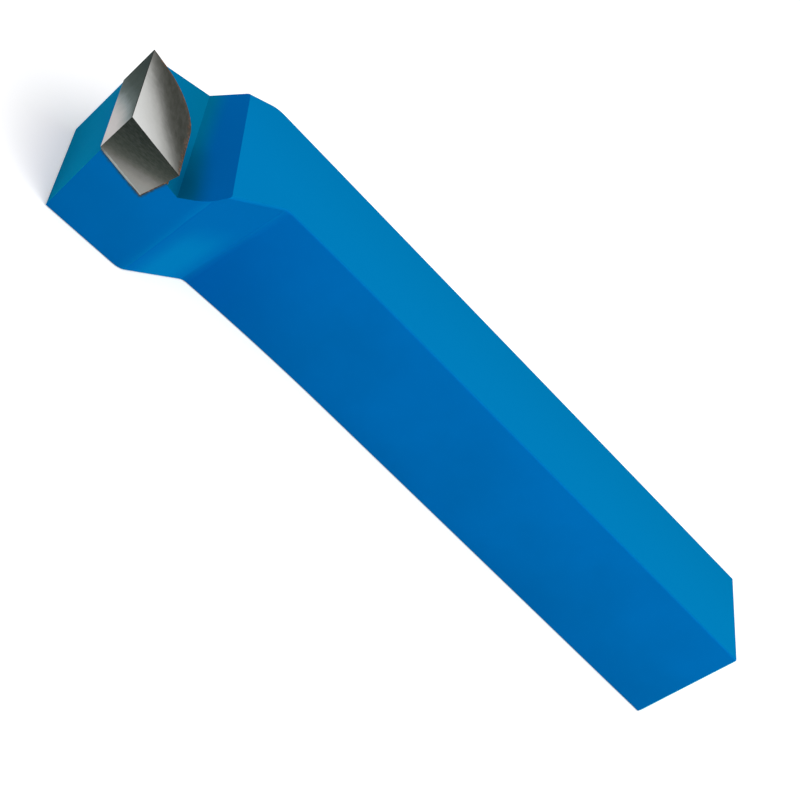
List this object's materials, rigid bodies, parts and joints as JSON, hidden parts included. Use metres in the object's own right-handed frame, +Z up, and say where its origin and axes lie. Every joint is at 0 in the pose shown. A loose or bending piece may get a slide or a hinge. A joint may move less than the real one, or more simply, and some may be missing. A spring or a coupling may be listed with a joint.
{
  "type": "brazed carbide lathe tool",
  "caption": "Right-hand offset facing tool for a lathe: square blue steel shank, head cranked to the left, flat carbide tip brazed into its top.",
  "frame": {"origin": "on the underside of the shank, on its middle plane, half way between the back end and the main cutting edge", "axes": "+X along the shank towards the cutting head, +Y to the left, the side that the head is set over to, +Z up towards the rake face"},
  "size_m": [0.11, 0.0267, 0.016],
  "materials": {
    "blue_paint": "thin satin enamel over forged and milled steel",
    "ground_carbide": "wheel-ground flats, heat-darkened towards the brazed back",
    "braze_filler": "thin oxidised copper-alloy seam"
  },
  "bodies": {
    "root": {"shank": "blue_paint", "carbide_tip": "ground_carbide", "braze_seam": "braze_filler"}
  },
  "joints": []
}
